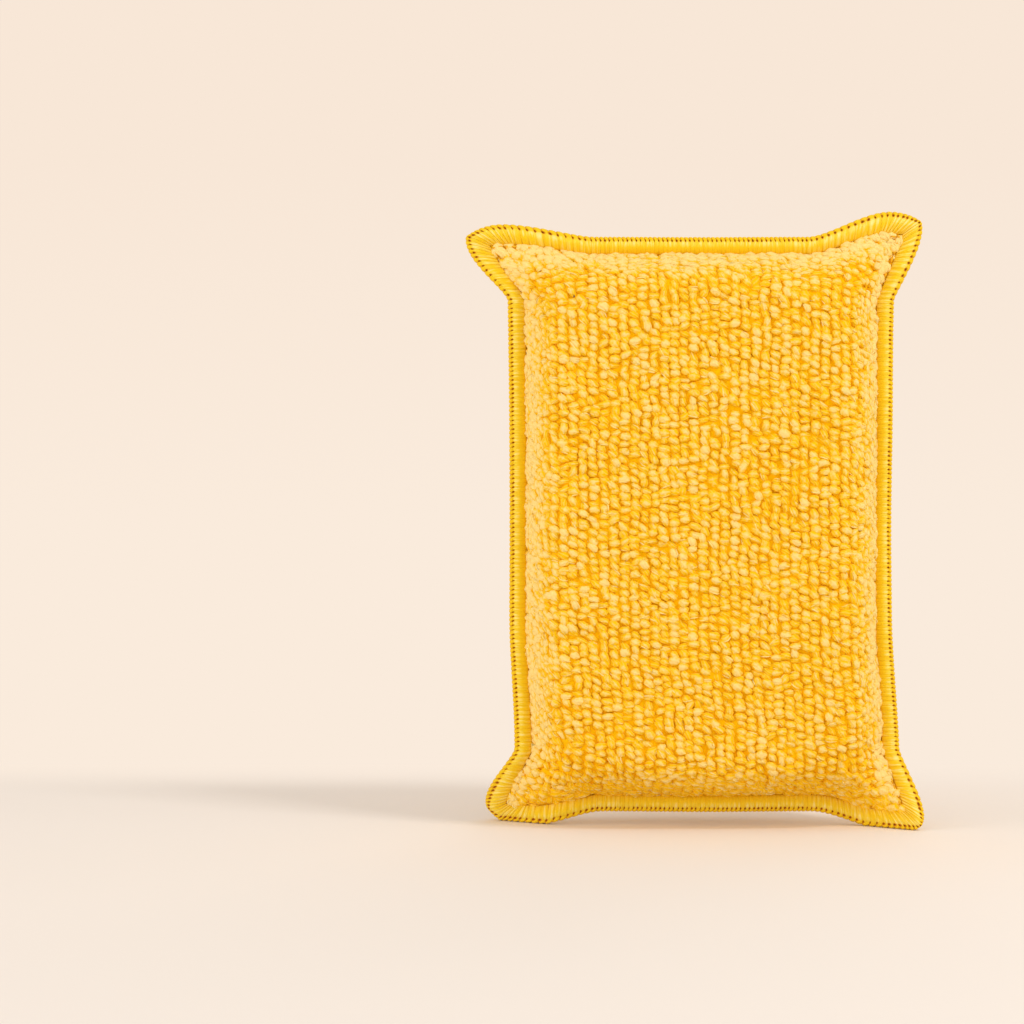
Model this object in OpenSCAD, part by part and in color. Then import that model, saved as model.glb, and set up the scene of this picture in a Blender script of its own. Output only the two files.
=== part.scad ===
// Cleaning sponge: a foam core between two terry covers, overlocked all round,
// with a flared ear at each corner. It stands on its two lower ears.

/* [Pad] */
// Width over the stitched edge at the top and the bottom, without the ears
pad_w = 85.5; // [65:0.5:120]
// Height over the stitched edge, without the ears
pad_h = 126.5; // [95:0.5:180]
// Thickness at the middle of the pad
pad_t = 28.5; // [20:0.5:40]
// How far each side pulls in at mid height
waist_in = 0.7; // [0:0.1:2]
// How far the lower end leans to the right
lower_lean = 1.5; // [0:0.1:4]
// Sideways place of the pad over the middle of its ears
pad_x = 1.2; // [-3:0.1:3]

/* [Foam core] */
// Distance over which an edge of the foam rounds into the face
shoulder = 8.5; // [6:0.5:12]
// Fullness of that rounding, where 2 is a round arc and more is squarer
fullness = 2.3; // [2:0.1:3.5]
// Length over which the filling thins out into an ear
corner_taper = 6; // [3:0.5:9]
// Swell of the face between its edges and its middle
crown = 0.6; // [0:0.1:2]

/* [Terry covers] */
// Thickness of a cover on the face
terry_t = 2.4; // [1.8:0.1:4]
// Thickness of a cover where the stitches press it flat
seam_t = 1.2; // [0.9:0.1:1.6]
// Spacing of the loop columns
loop_pitch_x = 2.5; // [2.2:0.1:5]
// Spacing of the loop rows
loop_pitch_z = 2.2; // [2:0.1:5]
// Height of a loop over the hollows around it
loop_relief = 0.9; // [0:0.1:1.2]

/* [Edge stitching] */
// Width of the band of looper thread
band_w = 4; // [3:0.1:6]
// Thickness of the looper thread over the cloth
thread_t = 0.6; // [0.4:0.05:0.9]
// Distance from the outer edge of the stitches to the cut edge of the cloth
edge_wrap = 0.65; // [0.5:0.05:0.9]
// Spacing of the ribs on the band, one for every two stitches
rib_pitch = 2.3; // [2:0.1:5]
// Depth of the hollows between the ribs
rib_depth = 0.3; // [0:0.05:0.35]
// Width of the needle stitches along the inner edge of the band
needle_w = 0.5; // [0.3:0.05:0.8]
// Gap between a thread and the cloth
thread_gap = 0.2; // [0.12:0.01:0.25]

/* [Ears] */
// Reach of the ears to the side: top left, top right, bottom left, bottom right
ear_out = [9.5, 7.1, 7, 5]; // [2:0.1:12]
// Rise of the upper ears: left, right
ear_rise = [2.9, 5.7]; // [0:0.1:8]
// Height left at the tip, as a share of the ear's rise, in the same order as the reach
ear_tip = [0.3, 0.8, 0.3, 0.9]; // [0:0.05:1]
// How far the tip of an ear curls to the back, in the same order as the reach
ear_back = [2.5, 4, 9, -8.5]; // [-10:0.5:10]
// Length of an ear along the top or the bottom edge
ear_along = 19.5; // [14:0.5:24]
// Length of an ear along a side edge
ear_down = 14; // [12:0.5:22]
// Length over which an ear curls
curl_along = 14; // [12:1:30]
// Rounding of an ear's tip
tip_round = 1.1; // [0:0.1:1.2]
// Height of the bottom edge over the surface that the ears stand on
foot_gap = 2.9; // [2:0.1:6]
// How far the standing ears are pressed flat
foot_press = 1; // [0.2:0.1:1]

/* [Seam] */
// Wave of the seam to the front and the back
seam_wave = 0.6; // [0:0.1:1.5]
// Length of one such wave
wave_len = 44; // [30:1:80]

/* [Hidden] */
half_w = pad_w / 2;
half_h = pad_h / 2;
// Signs of the corners, in the order of the ear values
CORNERS = [[-1, 1], [1, 1], [-1, -1], [1, -1]];
// How far each ear reaches up or down past the edge
ear_up = [ear_rise[0], ear_rise[1], foot_gap + foot_press, foot_gap + foot_press];
// Distance from a corner beyond which its ear moves nothing
ear_span = max(ear_along, ear_down, curl_along);
// Where along an ear its crest lies, as a share of its length
crest_at = 0.33;
// Length over which the tip of an ear is rounded
tip_len = 7;
// Steepness of an ear's reach along the side edge
side_power = 1.5;
// Distance from the edge over which the seam's wave dies out
wave_depth = 12;
// Shares of the half height below the middle at which the lean starts, and is full
lean_start = 0.3;
lean_full = 0.8;
// Length at a corner over which the ribs fan out to meet at its mitre
fan_len = 12;
// The outer face of a cover starts to rise just inside the needle stitches
face_inset = band_w + thread_gap + needle_w + thread_gap;
// The foam starts one thickness of pressed cloth further in
foam_inset = face_inset + seam_t;
// Cells over the rounded shoulder of a cover and of the foam
shoulder_cells = 6;
foam_shoulder_cells = 4;
// Cell size of the plain inner faces
inner_pitch = 7;
// Step for the surface direction at a point
probe = 0.05;
// The foam keeps this half thickness right up to its edge, where the seam pinches it
thinnest_foam = 0.15;
tiny = 0.001;

terry_colour = [0.98, 0.77, 0.22];
thread_colour = [0.95, 0.71, 0.10];
needle_colour = [0.90, 0.64, 0.08];
foam_colour = [0.97, 0.90, 0.62];

// Easing curves that run from 0 to 1, or from 1 to 0
function smooth(q) = let (c = min(max(q, 0), 1)) c * c * (3 - 2 * c);
function fade(q) = q >= 1 ? 0 : pow(1 - q * q, 2);
function side_fade(q) = q >= 1 ? 0 : pow(1 - q * q, side_power);
function near_fade(q) = q >= 1 ? 0 : pow(1 - q, 2);
function ear_profile(q, tip) =
    q >= 1 ? 0
    : q < crest_at ? tip + (1 - tip) * sin(90 * q / crest_at)
    : 1 - smooth((q - crest_at) / (1 - crest_at));
// Rise of ear k, where a lower ear is flat on the ground
function ear_lift(k, dx, dz, rounding) =
    let (lift = ear_up[k] * ear_profile(dx / ear_along, ear_tip[k]) * fade(dz / ear_down) - rounding)
    CORNERS[k][1] < 0 ? min(lift, foot_gap) : lift;

// Move of a point of the flat pad that ear k makes
function ear_move(k, x, z) =
    let (sx = CORNERS[k][0], sz = CORNERS[k][1], dx = half_w - sx * x, dz = half_h - sz * z)
    dx > ear_span || dz > ear_span ? [0, 0, 0]
    : let (rounding = tip_round * near_fade(dx / tip_len) * near_fade(dz / tip_len))
    [
        sx * (ear_out[k] * side_fade(dz / ear_down) * fade(dx / ear_along) - rounding),
        ear_back[k] * fade(dx / curl_along) * fade(dz / curl_along),
        sz * ear_lift(k, dx, dz, rounding)
    ];

function wave(x, z) =
    seam_wave * (
        cos(360 * x / wave_len) * (fade((half_h - z) / wave_depth) - fade((half_h + z) / wave_depth))
        + cos(360 * z / wave_len) * (fade((half_w - x) / wave_depth) - fade((half_w + x) / wave_depth)));

// Place of the flat pad's point x, z, at a depth y behind the seam
function place(x, y, z) =
    let (
        lean = lower_lean * smooth((-z / half_h - lean_start) / (lean_full - lean_start)),
        pinch = 1 - waist_in / half_w * (1 - pow(z / half_h, 2))
    )
    [pad_x + x * pinch + lean, y + wave(x, z), foot_gap + half_h + z]
    + ear_move(0, x, z) + ear_move(1, x, z) + ear_move(2, x, z) + ear_move(3, x, z);

// Share of the full thickness that a filled form has, whose edge lies inset from the seam
function rounding(d) = d >= shoulder ? 1 : pow(1 - pow(1 - d / shoulder, fullness), 1 / fullness);
function fill(x, z, inset) =
    let (dx = max(half_w - abs(x) - inset, 0), dz = max(half_h - abs(z) - inset, 0))
    rounding(dx) * rounding(dz) * (1 - exp(-dx * dz / pow(corner_taper, 2)));
function sink(x, z) = crown * (1 - (1 - pow(x / half_w, 2)) * (1 - pow(z / half_h, 2)));
function foam_depth(x, z) =
    let (thin = min(half_w - abs(x), half_h - abs(z)) > foam_inset + tiny ? thinnest_foam : 0)
    max((pad_t / 2 - terry_t - sink(x, z)) * fill(x, z, foam_inset), thin);
function face_depth(x, z) = seam_t + (pad_t / 2 - seam_t - sink(x, z)) * fill(x, z, face_inset);

// Distances from the edge of the grid lines over a rounded shoulder
function shoulder_lines(inset, cells) =
    [for (k = [0 : cells]) inset + shoulder * (1 - pow(cos(90 * k / cells), 2 / fullness))];
// Grid lines across a length: the given ones from either end, and even ones between them
function grid_lines(half, ends, pitch) =
    let (free = half - ends[len(ends) - 1], cells = round(2 * free / pitch))
    concat(
        [for (d = ends) d - half],
        [for (k = [1 : cells - 1]) free * (2 * k / cells - 1)],
        [for (k = [len(ends) - 1 : -1 : 0]) half - ends[k]]);

face_ends = concat([edge_wrap, (edge_wrap + face_inset) / 2], shoulder_lines(face_inset, shoulder_cells));
// The lines under the thread and at its inner edge carry no loops
bare_lines = 3;
face_x = grid_lines(half_w, face_ends, loop_pitch_x);
face_z = grid_lines(half_h, face_ends, loop_pitch_z);
foam_ends = shoulder_lines(foam_inset, foam_shoulder_cells);
foam_x = grid_lines(half_w, foam_ends, inner_pitch);
foam_z = grid_lines(half_h, foam_ends, inner_pitch);

// Faces of a grid of points, column by column. The cells are cut in two between the hollows
// around its loops, which stand at the even points, or, on a plain grid, from its corners inward.
function grid_faces(nx, nz, base, turned, plain) = [
    for (i = [0 : nx - 2]) for (j = [0 : nz - 2])
        let (
            a = base + i * nz + j, b = a + nz, c = b + 1, d = a + 1,
            falling = plain ? (2 * i < nx - 2) != (2 * j < nz - 2) : (i + j) % 2 == 0,
            pair = falling ? [[a, d, b], [d, c, b]] : [[a, c, b], [a, d, c]]
        )
        for (f = pair) turned ? [f[2], f[1], f[0]] : f
];
// Points along the bottom, right, top and left sides of such a grid
function sides(nx, nz, base) = [
    [for (i = [0 : nx - 1]) base + i * nz],
    [for (j = [0 : nz - 1]) base + (nx - 1) * nz + j],
    [for (i = [nx - 1 : -1 : 0]) base + i * nz + nz - 1],
    [for (j = [nz - 1 : -1 : 0]) base + j]
];
// Faces that join a fine row of points to a coarse one
function join_rows(fine, coarse, turned) = [
    let (n = len(fine) - 1, m = len(coarse) - 1)
    for (k = [0 : n - 1])
        let (
            at = round(k * m / n), next = round((k + 1) * m / n),
            pair = concat(
                [[fine[k], fine[k + 1], coarse[at]]],
                next > at ? [[fine[k + 1], coarse[next], coarse[at]]] : [])
        )
        for (f = pair) turned ? [f[2], f[1], f[0]] : f
];

// Outward direction of a cover's face, where out is -1 for the front and 1 for the back
function face_point(x, z, out) = place(x, out * face_depth(x, z), z);
function face_normal(x, z, out) =
    let (
        along = face_point(x + probe, z, out) - face_point(x - probe, z, out),
        up = face_point(x, z + probe, out) - face_point(x, z - probe, out),
        n = cross(along, up) * -out
    )
    n / norm(n);

module cover(out) {
    nx = len(face_x);
    nz = len(face_z);
    face = [
        for (i = [0 : nx - 1]) for (j = [0 : nz - 1])
            let (
                x = face_x[i], z = face_z[j], rim = min(i, j, nx - 1 - i, nz - 1 - j),
                loop = loop_relief * ((i + j) % 2 == 0 ? 0.5 : -0.5),
                relief = rim < bare_lines ? 0 : rim == bare_lines ? loop / 2 : loop
            )
            relief == 0 ? face_point(x, z, out)
            : face_point(x, z, out) + relief * face_normal(x, z, out)
    ];
    lining = [for (x = foam_x) for (z = foam_z) place(x, out * foam_depth(x, z), z)];
    // The cut edge runs from the face to the seam, where the two covers meet
    cut = [
        for (i = [0 : nx - 2]) [face_x[i], face_z[0]],
        for (j = [0 : nz - 2]) [face_x[nx - 1], face_z[j]],
        for (i = [nx - 1 : -1 : 1]) [face_x[i], face_z[nz - 1]],
        for (j = [nz - 1 : -1 : 1]) [face_x[0], face_z[j]]
    ];
    seam = [for (c = cut) place(c[0], 0, c[1])];
    lining_base = nx * nz;
    seam_base = lining_base + len(lining);
    turned = out > 0;
    face_sides = sides(nx, nz, 0);
    lining_sides = sides(len(foam_x), len(foam_z), lining_base);
    starts = [0, nx - 1, nx + nz - 2, 2 * nx + nz - 3];
    seam_sides = [
        for (s = [0 : 3]) [for (k = [0 : len(face_sides[s]) - 1]) seam_base + (starts[s] + k) % len(seam)]
    ];
    polyhedron(
        concat(face, lining, seam),
        concat(
            grid_faces(nx, nz, 0, turned, false),
            grid_faces(len(foam_x), len(foam_z), lining_base, !turned, true),
            [for (s = [0 : 3]) for (f = join_rows(face_sides[s], seam_sides[s], turned)) f],
            [for (s = [0 : 3]) for (f = join_rows(seam_sides[s], lining_sides[s], turned)) f]));
}

// Place along a side, where the lines fan out to the mitre of the corner
function fanned(a, half, d) =
    let (straight = half - fan_len)
    abs(a) < straight ? a
    : sign(a) * (straight + (abs(a) - straight) * (fan_len - d) / fan_len);
// Point of the flat pad at a place a along a side and a distance d from the edge
function rim_point(side, a, d) =
    let (along = fanned(a, side % 2 == 0 ? half_w : half_h, d), sense = side < 2 ? 1 : -1)
    side % 2 == 0 ? sense * [along, d - half_h] : sense * [half_w - d, along];
// Stations round the edge, two for each rib: side, place along it, and 0 in a hollow, 1 on a rib
// and 2 on a rib of a standing ear
stations = [
    for (side = [0 : 3])
        let (half = side % 2 == 0 ? half_w : half_h, count = 2 * round(2 * half / rib_pitch))
        for (k = [0 : count - 1])
            let (a = half * (2 * k / count - 1), standing = side == 0 && abs(a) > half_w - ear_along)
            [side, a, k % 2 == 1 ? 0 : standing ? 2 : 1]
];

// Closed ring of thread: sections holds an outline for each of the three kinds of station
module thread_ring(sections, out) {
    n = len(stations);
    m = len(sections[0]);
    points = [
        for (s = stations) for (q = sections[s[2]])
            let (p = rim_point(s[0], s[1], q[0])) place(p[0], out * q[1], p[1])
    ];
    faces = [
        for (i = [0 : n - 1]) for (k = [0 : m - 1])
            let (
                a = i * m + k, b = i * m + (k + 1) % m,
                c = ((i + 1) % n) * m + (k + 1) % m, d = ((i + 1) % n) * m + k
            )
            for (f = [[a, b, c], [a, c, d]]) out < 0 ? f : [f[2], f[1], f[0]]
    ];
    polyhedron(points, faces);
}

cloth_top = seam_t + thread_gap;
wrap_inner = edge_wrap - thread_gap;
// How far in the looper thread turns over the edge of the cloth, and how high it stands there
turn_in = 0.3;
turn_height = cloth_top + thread_t * 0.4;
// Where it stands highest, as a share of the band's width
high_at = 0.45;
// Shares of the depth of a hollow by which the thread draws in at the edge and at that turn
hollow_edge = 0.6;
hollow_turn = 0.4;
// Outline of the looper thread: distance from the edge, and height over the seam
function looper_outline(hollow, turn) = [
    [hollow * hollow_edge, 0],
    [turn + hollow * hollow_turn, turn_height - hollow],
    [band_w * high_at, cloth_top + thread_t - hollow],
    [band_w, cloth_top],
    [wrap_inner, cloth_top],
    [wrap_inner, 0]
];
module looper_thread(out) {
    // Under a standing ear the outline is square, so that it stands on its full width
    thread_ring([looper_outline(rib_depth, turn_in), looper_outline(0, turn_in), looper_outline(0, 0)], out);
}

function needle_outline(height) = [
    [band_w + thread_gap, cloth_top],
    [band_w + thread_gap + needle_w / 2, cloth_top + height],
    [band_w + thread_gap + needle_w, cloth_top]
];

module foam_core() {
    nx = len(foam_x);
    nz = len(foam_z);
    // The two faces share the points of their edge
    edge = function (i, j) i == 0 || j == 0 || i == nx - 1 || j == nz - 1;
    front = [for (x = foam_x) for (z = foam_z) place(x, -foam_depth(x, z), z)];
    back = [for (x = foam_x) for (z = foam_z) place(x, foam_depth(x, z), z)];
    size = nx * nz;
    shared = function (v)
        v >= size && edge(floor((v - size) / nz), (v - size) % nz) ? v - size : v;
    color(foam_colour)
        polyhedron(
            concat(front, back),
            concat(
                grid_faces(nx, nz, 0, false, true),
                [for (f = grid_faces(nx, nz, size, true, true)) [for (v = f) shared(v)]]));
}

module front_cover() {
    color(terry_colour) cover(-1);
}

module back_cover() {
    color(terry_colour) cover(1);
}

module needle_thread() {
    stitch = needle_outline(thread_t);
    color(needle_colour) thread_ring([needle_outline(thread_t / 3), stitch, stitch], -1);
}

module front_looper_thread() {
    color(thread_colour) looper_thread(-1);
}

module back_looper_thread() {
    color(thread_colour) looper_thread(1);
}

foam_core();
front_cover();
back_cover();
needle_thread();
front_looper_thread();
back_looper_thread();
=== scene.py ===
import bpy
import numpy as np
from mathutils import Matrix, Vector
from mathutils.kdtree import KDTree


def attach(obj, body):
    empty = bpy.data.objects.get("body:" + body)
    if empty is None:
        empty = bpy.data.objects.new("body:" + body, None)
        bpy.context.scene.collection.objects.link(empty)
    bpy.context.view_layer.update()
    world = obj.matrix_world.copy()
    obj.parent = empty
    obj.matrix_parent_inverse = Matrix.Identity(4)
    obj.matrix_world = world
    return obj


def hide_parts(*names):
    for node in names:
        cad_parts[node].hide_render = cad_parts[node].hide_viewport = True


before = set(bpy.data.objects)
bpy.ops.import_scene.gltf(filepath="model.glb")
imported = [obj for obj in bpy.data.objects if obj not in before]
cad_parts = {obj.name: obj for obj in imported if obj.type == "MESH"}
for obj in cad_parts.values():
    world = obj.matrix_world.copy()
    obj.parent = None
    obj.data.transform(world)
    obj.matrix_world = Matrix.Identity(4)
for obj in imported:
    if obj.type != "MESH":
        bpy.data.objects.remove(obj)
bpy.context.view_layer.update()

scene = bpy.context.scene
scene.view_settings.view_transform = "Standard"
mm = 0.001
print("frame loaded:", ", ".join(sorted(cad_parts)))

# The form of the pad, in millimetres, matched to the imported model
pad = {
    "width": 85.5, "height": 126.5, "thickness": 28.5,
    "waistIn": 0.7, "lowerLean": 1.5, "leanFrom": 0.3, "leanTo": 0.8, "sideways": 1.2,
    "shoulder": 8.5, "fullness": 2.3, "cornerTaper": 6.0, "crown": 0.6,
    "seamWave": 0.6, "waveLength": 44.0, "waveDepth": 12.0,
    "footGap": 2.9, "clothAtSeam": 1.2, "clothEdge": 1.3, "faceInset": 4.9, "foamInset": 6.1,
    "terryThickness": 2.4,
}
# Its ears: top left, top right, bottom left, bottom right
ears = {
    "signs": [(-1, 1), (1, 1), (-1, -1), (1, -1)],
    "out": [9.5, 7.1, 7.0, 5.0], "up": [2.9, 5.7, 3.9, 3.9],
    "tip": [0.3, 0.8, 0.3, 0.9], "back": [2.5, 4.0, 9.0, -8.5],
    "along": 19.5, "down": 14.0, "curl": 14.0, "crest": 0.33, "steepness": 1.5,
    "tipRound": [0.6, 1.0, 1.1, 1.7], "tipLength": 7.0,
}
halfWidth = pad["width"] / 2
halfHeight = pad["height"] / 2


def smoothStep(q):
    q = np.clip(q, 0, 1)
    return q * q * (3 - 2 * q)


def fadeOut(q, power=2.0):
    return np.maximum(1 - np.square(np.minimum(q, 1)), 0) ** power


def nearFade(q):
    return np.square(1 - np.minimum(q, 1))


def earProfile(q, tip):
    rise = tip + (1 - tip) * np.sin(np.pi / 2 * np.minimum(q / ears["crest"], 1))
    fall = 1 - smoothStep((q - ears["crest"]) / (1 - ears["crest"]))
    return np.where(q < ears["crest"], rise, fall)


def seamWave(x, z):
    turn = 2 * np.pi / pad["waveLength"]
    depth = pad["waveDepth"]
    upDown = fadeOut((halfHeight - z) / depth) - fadeOut((halfHeight + z) / depth)
    leftRight = fadeOut((halfWidth - x) / depth) - fadeOut((halfWidth + x) / depth)
    return pad["seamWave"] * (np.cos(turn * x) * upDown + np.cos(turn * z) * leftRight)


# Takes a point of the flat pad, with its middle at 0, to its place on the curled pad that stands
def placeOnPad(x, y, z):
    x, y, z = np.broadcast_arrays(np.asarray(x, float), np.asarray(y, float), np.asarray(z, float))
    low = (-z / halfHeight - pad["leanFrom"]) / (pad["leanTo"] - pad["leanFrom"])
    pinch = 1 - pad["waistIn"] / halfWidth * (1 - np.square(z / halfHeight))
    px = pad["sideways"] + x * pinch + pad["lowerLean"] * smoothStep(low)
    py = y + seamWave(x, z)
    pz = pad["footGap"] + halfHeight + z
    for k, (sx, sz) in enumerate(ears["signs"]):
        dx = halfWidth - sx * x
        dz = halfHeight - sz * z
        near = (dx <= ears["along"]) & (dz <= ears["along"])
        dx = np.maximum(dx, 0)
        dz = np.maximum(dz, 0)
        rounding = ears["tipRound"][k] * nearFade(dx / ears["tipLength"]) * nearFade(dz / ears["tipLength"])
        profile = earProfile(dx / ears["along"], ears["tip"][k])
        lift = ears["up"][k] * profile * fadeOut(dz / ears["down"]) - rounding
        if sz < 0:
            lift = np.minimum(lift, pad["footGap"])
        reach = ears["out"][k] * fadeOut(dz / ears["down"], ears["steepness"]) * fadeOut(dx / ears["along"])
        curl = ears["back"][k] * fadeOut(dx / ears["curl"]) * fadeOut(dz / ears["curl"])
        px = px + np.where(near, sx * (reach - rounding), 0)
        py = py + np.where(near, curl, 0)
        pz = pz + np.where(near, sz * lift, 0)
    return np.stack([px, py, pz], axis=-1)


def roundedEdge(d):
    return (1 - (1 - np.clip(d / pad["shoulder"], 0, 1)) ** pad["fullness"]) ** (1 / pad["fullness"])


def filling(x, z, inset):
    dx = np.maximum(halfWidth - np.abs(x) - inset, 0)
    dz = np.maximum(halfHeight - np.abs(z) - inset, 0)
    return roundedEdge(dx) * roundedEdge(dz) * (1 - np.exp(-dx * dz / pad["cornerTaper"] ** 2))


def crownSink(x, z):
    return pad["crown"] * (1 - (1 - np.square(x / halfWidth)) * (1 - np.square(z / halfHeight)))


def faceDepth(x, z):
    full = pad["thickness"] / 2 - pad["clothAtSeam"] - crownSink(x, z)
    return pad["clothAtSeam"] + full * filling(x, z, pad["faceInset"])


def liningDepth(x, z):
    full = pad["thickness"] / 2 - pad["terryThickness"] - crownSink(x, z)
    return full * filling(x, z, pad["foamInset"])


def unit(v):
    return v / np.maximum(np.linalg.norm(v, axis=-1, keepdims=True), 1e-9)


# Slow uneven waves: they dent the pad and let the columns and the lean of the loops wander
waves = {"count": 7, "slowest": 0.04, "fastest": 0.15, "finer": 1.4, "phase": 6.28}


def slowWaves(x, z, seed):
    rng = np.random.default_rng(seed)
    total = 0
    for k in range(waves["count"]):
        turn = rng.uniform(waves["slowest"], waves["fastest"]) * 2 * np.pi / 3
        heading = rng.uniform(0, np.pi)
        along = turn * (x * np.cos(heading) + z * np.sin(heading)) * waves["finer"]
        total = total + np.sin(along + rng.uniform(0, waves["phase"]))
    return total / waves["count"]


def paint(red, green, blue):
    flat = np.array([red, green, blue]) / 255
    linear = np.where(flat <= 0.04045, flat / 12.92, ((flat + 0.055) / 1.055) ** 2.4)
    return (float(linear[0]), float(linear[1]), float(linear[2]), 1.0)


def makePiece(name, points, faces, attributes, material):
    mesh = bpy.data.meshes.new(name)
    mesh.from_pydata((points.reshape(-1, 3) * mm).tolist(), [], faces.tolist())
    mesh.polygons.foreach_set("use_smooth", np.ones(len(mesh.polygons), bool))
    for key, values in attributes.items():
        layer = mesh.attributes.new(name=key, type="FLOAT_VECTOR", domain="POINT")
        layer.data.foreach_set("vector", np.ascontiguousarray(values, np.float32).ravel())
    mesh.materials.append(material)
    mesh.update()
    piece = bpy.data.objects.new(name, mesh)
    scene.collection.objects.link(piece)
    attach(piece, "root")
    print("made", name, "with", len(mesh.polygons), "faces")
    return piece


# The angles round a tube of yarn, and the faces of a number of such tubes
def roundTube(sides):
    return np.arange(sides) / sides * 2 * np.pi


def tubeFaces(count, rings, sides):
    k, r, s = np.meshgrid(np.arange(count), np.arange(rings - 1), np.arange(sides), indexing="ij")
    first = (k * rings + r) * sides + s
    second = (k * rings + r) * sides + (s + 1) % sides
    return np.stack([first, first + sides, second + sides, second], axis=-1).reshape(-1, 4)


# Small helpers for the materials
def addNode(tree, kind, inputs=None, **settings):
    made = tree.nodes.new("ShaderNode" + kind)
    for key, value in settings.items():
        setattr(made, key, value)
    for key, value in (inputs or {}).items():
        if isinstance(value, bpy.types.NodeSocket):
            tree.links.new(value, made.inputs[key])
        else:
            made.inputs[key].default_value = value
    return made


def calc(tree, operation, first, second=0.0):
    return addNode(tree, "Math", {0: first, 1: second}, operation=operation).outputs[0]


def addShare(tree, base, value, share):
    return calc(tree, "ADD", base, calc(tree, "MULTIPLY", value, share))


def objectPlace(tree):
    return addNode(tree, "TexCoord").outputs["Object"]


def noise(tree, where, scale, detail=3.0):
    return addNode(tree, "TexNoise", {"Vector": where, "Scale": scale, "Detail": detail}).outputs["Fac"]


def attributeParts(tree, name):
    vector = addNode(tree, "Attribute", attribute_name=name).outputs["Vector"]
    return addNode(tree, "SeparateXYZ", {0: vector}).outputs


def mapRange(tree, value, low, high, most=1.0):
    return addNode(tree, "MapRange", {0: value, 1: low, 2: high, 4: most}).outputs[0]


def colourRamp(tree, factor, stops):
    made = addNode(tree, "ValToRGB", {0: factor})
    ramp = made.color_ramp
    while len(ramp.elements) < len(stops):
        ramp.elements.new(0.5)
    for element, (place, colour) in zip(ramp.elements, stops):
        element.position = place
        element.color = colour
    return made.outputs[0]


def mixColour(tree, factor, first, second):
    return addNode(tree, "Mix", {0: factor, 6: first, 7: second}, data_type="RGBA").outputs[2]


def newMaterial(name):
    material = bpy.data.materials.new(name)
    material.use_nodes = True
    tree = material.node_tree
    return material, tree, tree.nodes["Principled BSDF"]


def applyFinish(tree, shader, colour, relief, finish):
    bump = addNode(tree, "Bump", {"Height": relief, "Distance": finish["bumpDepth"], "Strength": finish["bump"]})
    tree.links.new(colour, shader.inputs["Base Color"])
    tree.links.new(bump.outputs[0], shader.inputs["Normal"])
    shader.inputs["Roughness"].default_value = finish["roughness"]


# Terry: painted highlight on the loop tops, painted shade deep yellow between them, and the strands of each loop
terry = {
    "paintedCreviceShade": paint(253, 190, 2), "body": paint(251, 197, 16), "top": paint(251, 217, 134),
    "paintedCreviceShadeAt": 0.45, "bodyAt": 0.81, "paintedTopHighlightAt": 1.0,
    "patchScale": 55.0, "patches": 0.12, "tuftScale": 420.0, "tufts": 0.34,
    "fluffScale": 1900.0, "fluff": 0.4, "tones": 0.3,
    "paintedStrandHighlight": paint(253, 226, 140), "strands": 4.0, "strandTwist": 4.0, "uneven": 4.5,
    "hollowEdge": 3.0, "crestEdge": 6.0, "strandPaintedShade": 0.16, "strandPaintedHighlight": 0.28, "loosePaintedHighlight": 0.6,
    "strandRelief": 0.4, "fluffRelief": 1.4, "tuftRelief": 5.0, "bumpDepth": 0.0002, "bump": 0.9,
    "roughness": 0.9, "sheen": 0.14, "sheenRoughness": 0.5, "sheenTint": paint(255, 214, 80), "specular": 0.05,
}


def terryLook(name, kind):
    material, tree, shader = newMaterial(name)
    where = objectPlace(tree)
    loop = attributeParts(tree, "loop")
    patches = noise(tree, where, terry["patchScale"], 2.0)
    tufts = noise(tree, where, terry["tuftScale"])
    fluff = noise(tree, where, terry["fluffScale"])
    height = loop[0]
    for value, share in ((patches, "patches"), (tufts, "tufts"), (fluff, "fluff"), (loop[1], "tones")):
        height = addShare(tree, height, calc(tree, "SUBTRACT", value, 0.5), terry[share])
    # Up each loop the colour runs from painted crevice shade through the yarn's own yellow to a painted highlight
    # on top
    stops = [(terry["paintedCreviceShadeAt"], terry["paintedCreviceShade"]), (terry["bodyAt"], terry["body"]), (terry["paintedTopHighlightAt"], terry["top"])]
    colour = colourRamp(tree, height, stops)
    if kind == "loops":
        turn = attributeParts(tree, "turn")
        angle = calc(tree, "ARCTAN2", turn[1], turn[0])
        phase = addShare(tree, calc(tree, "MULTIPLY", angle, terry["strands"]), loop[2], terry["strandTwist"])
        phase = addShare(tree, phase, tufts, terry["uneven"])
        strand = calc(tree, "ABSOLUTE", calc(tree, "SINE", phase))
        # Painted shade in the hollows between the strands, painted highlight on their crests, brighter high on
        # the loop
        paintedHollowShade = calc(tree, "POWER", calc(tree, "SUBTRACT", 1.0, strand), terry["hollowEdge"])
        crest = calc(tree, "MULTIPLY", calc(tree, "POWER", strand, terry["crestEdge"]), loop[0])
        shade = calc(tree, "MULTIPLY", paintedHollowShade, terry["strandPaintedShade"])
        light = calc(tree, "MULTIPLY", crest, terry["strandPaintedHighlight"])
        colour = mixColour(tree, shade, colour, terry["paintedCreviceShade"])
        colour = mixColour(tree, light, colour, terry["paintedStrandHighlight"])
        relief = calc(tree, "MULTIPLY", strand, terry["strandRelief"])
        relief = addShare(tree, relief, fluff, terry["fluffRelief"])
    else:
        relief = addShare(tree, fluff, tufts, terry["tuftRelief"])
    if kind == "strands":
        # Loose strands are painted towards the pale highlight colour: a painted highlight
        light = calc(tree, "MULTIPLY", loop[1], terry["loosePaintedHighlight"])
        colour = mixColour(tree, light, colour, terry["paintedStrandHighlight"])
    applyFinish(tree, shader, colour, relief, terry)
    shader.inputs["Sheen Weight"].default_value = terry["sheen"]
    shader.inputs["Sheen Roughness"].default_value = terry["sheenRoughness"]
    shader.inputs["Sheen Tint"].default_value = terry["sheenTint"]
    shader.inputs["Specular IOR Level"].default_value = terry["specular"]
    return material


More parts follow.
